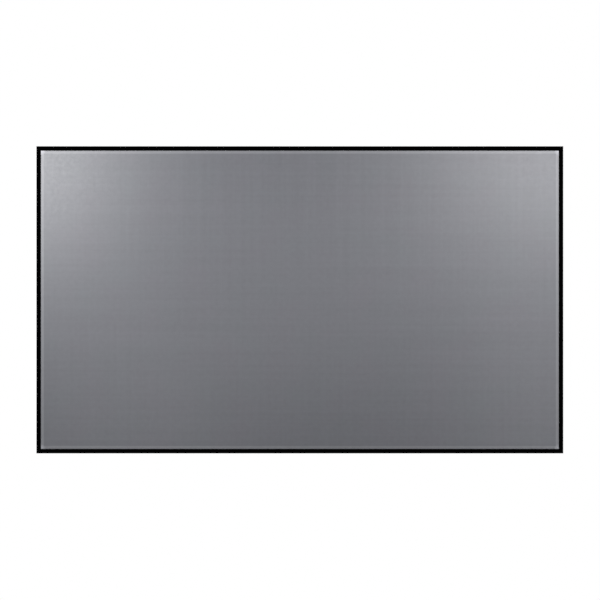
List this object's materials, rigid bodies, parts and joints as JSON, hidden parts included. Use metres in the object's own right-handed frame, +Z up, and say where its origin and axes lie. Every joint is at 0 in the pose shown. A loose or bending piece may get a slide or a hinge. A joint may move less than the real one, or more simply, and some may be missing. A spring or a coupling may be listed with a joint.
{
  "type": "fixed-frame projection screen",
  "caption": "Wide thin-bezel projection screen: grey film pulled by springs round a mitred aluminium frame, with a black clip-on trim and wall brackets.",
  "frame": {"origin": "centre of the bounding box: the middle of the screen, half way between the bezel's front and the wall", "axes": "+X to the viewer's right, +Z up, +Y back to the wall; the film faces -Y"},
  "size_m": [2.252, 0.036, 1.313],
  "materials": {
    "bezel_trim": "matte",
    "screen_film": "satin",
    "frame_rail": "satin",
    "cast_key": "satin",
    "support_bar": "satin",
    "support_bar_foot": "matte",
    "tension_rod": "satin",
    "tension_spring": "satin",
    "wall_bracket": "satin"
  },
  "bodies": {
    "root": {"frame_rail_top_left": "frame_rail", "frame_rail_top_right": "frame_rail", "frame_rail_bottom_left": "frame_rail", "frame_rail_bottom_right": "frame_rail", "frame_rail_left": "frame_rail", "frame_rail_right": "frame_rail", "bezel_trim_top_left": "bezel_trim", "bezel_trim_top_right": "bezel_trim", "bezel_trim_bottom_left": "bezel_trim", "bezel_trim_bottom_right": "bezel_trim", "bezel_trim_left": "bezel_trim", "bezel_trim_right": "bezel_trim", "corner_key_top_left": "cast_key", "corner_key_top_right": "cast_key", "corner_key_bottom_left": "cast_key", "corner_key_bottom_right": "cast_key", "splice_bar_top": "cast_key", "splice_bar_bottom": "cast_key", "support_bar": "support_bar", "support_bar_foot_top": "support_bar_foot", "support_bar_foot_bottom": "support_bar_foot", "screen_film": "screen_film", "tension_rod_top": "tension_rod", "tension_rod_bottom": "tension_rod", "tension_rod_left": "tension_rod", "tension_rod_right": "tension_rod", "tension_spring_top_01": "tension_spring", "tension_spring_top_02": "tension_spring", "tension_spring_top_03": "tension_spring", "tension_spring_top_04": "tension_spring", "tension_spring_top_05": "tension_spring", "tension_spring_top_06": "tension_spring", "tension_spring_top_07": "tension_spring", "tension_spring_top_08": "tension_spring", "tension_spring_top_09": "tension_spring", "tension_spring_top_10": "tension_spring", "tension_spring_bottom_01": "tension_spring", "tension_spring_bottom_02": "tension_spring", "tension_spring_bottom_03": "tension_spring", "tension_spring_bottom_04": "tension_spring", "tension_spring_bottom_05": "tension_spring", "tension_spring_bottom_06": "tension_spring", "tension_spring_bottom_07": "tension_spring", "tension_spring_bottom_08": "tension_spring", "tension_spring_bottom_09": "tension_spring", "tension_spring_bottom_10": "tension_spring", "tension_spring_left_01": "tension_spring", "tension_spring_left_02": "tension_spring", "tension_spring_left_03": "tension_spring", "tension_spring_left_04": "tension_spring", "tension_spring_left_05": "tension_spring", "tension_spring_right_01": "tension_spring", "tension_spring_right_02": "tension_spring", "tension_spring_right_03": "tension_spring", "tension_spring_right_04": "tension_spring", "tension_spring_right_05": "tension_spring", "wall_bracket_upper_left": "wall_bracket", "wall_bracket_upper_right": "wall_bracket", "wall_bracket_lower_left": "wall_bracket", "wall_bracket_lower_right": "wall_bracket"}
  },
  "joints": []
}
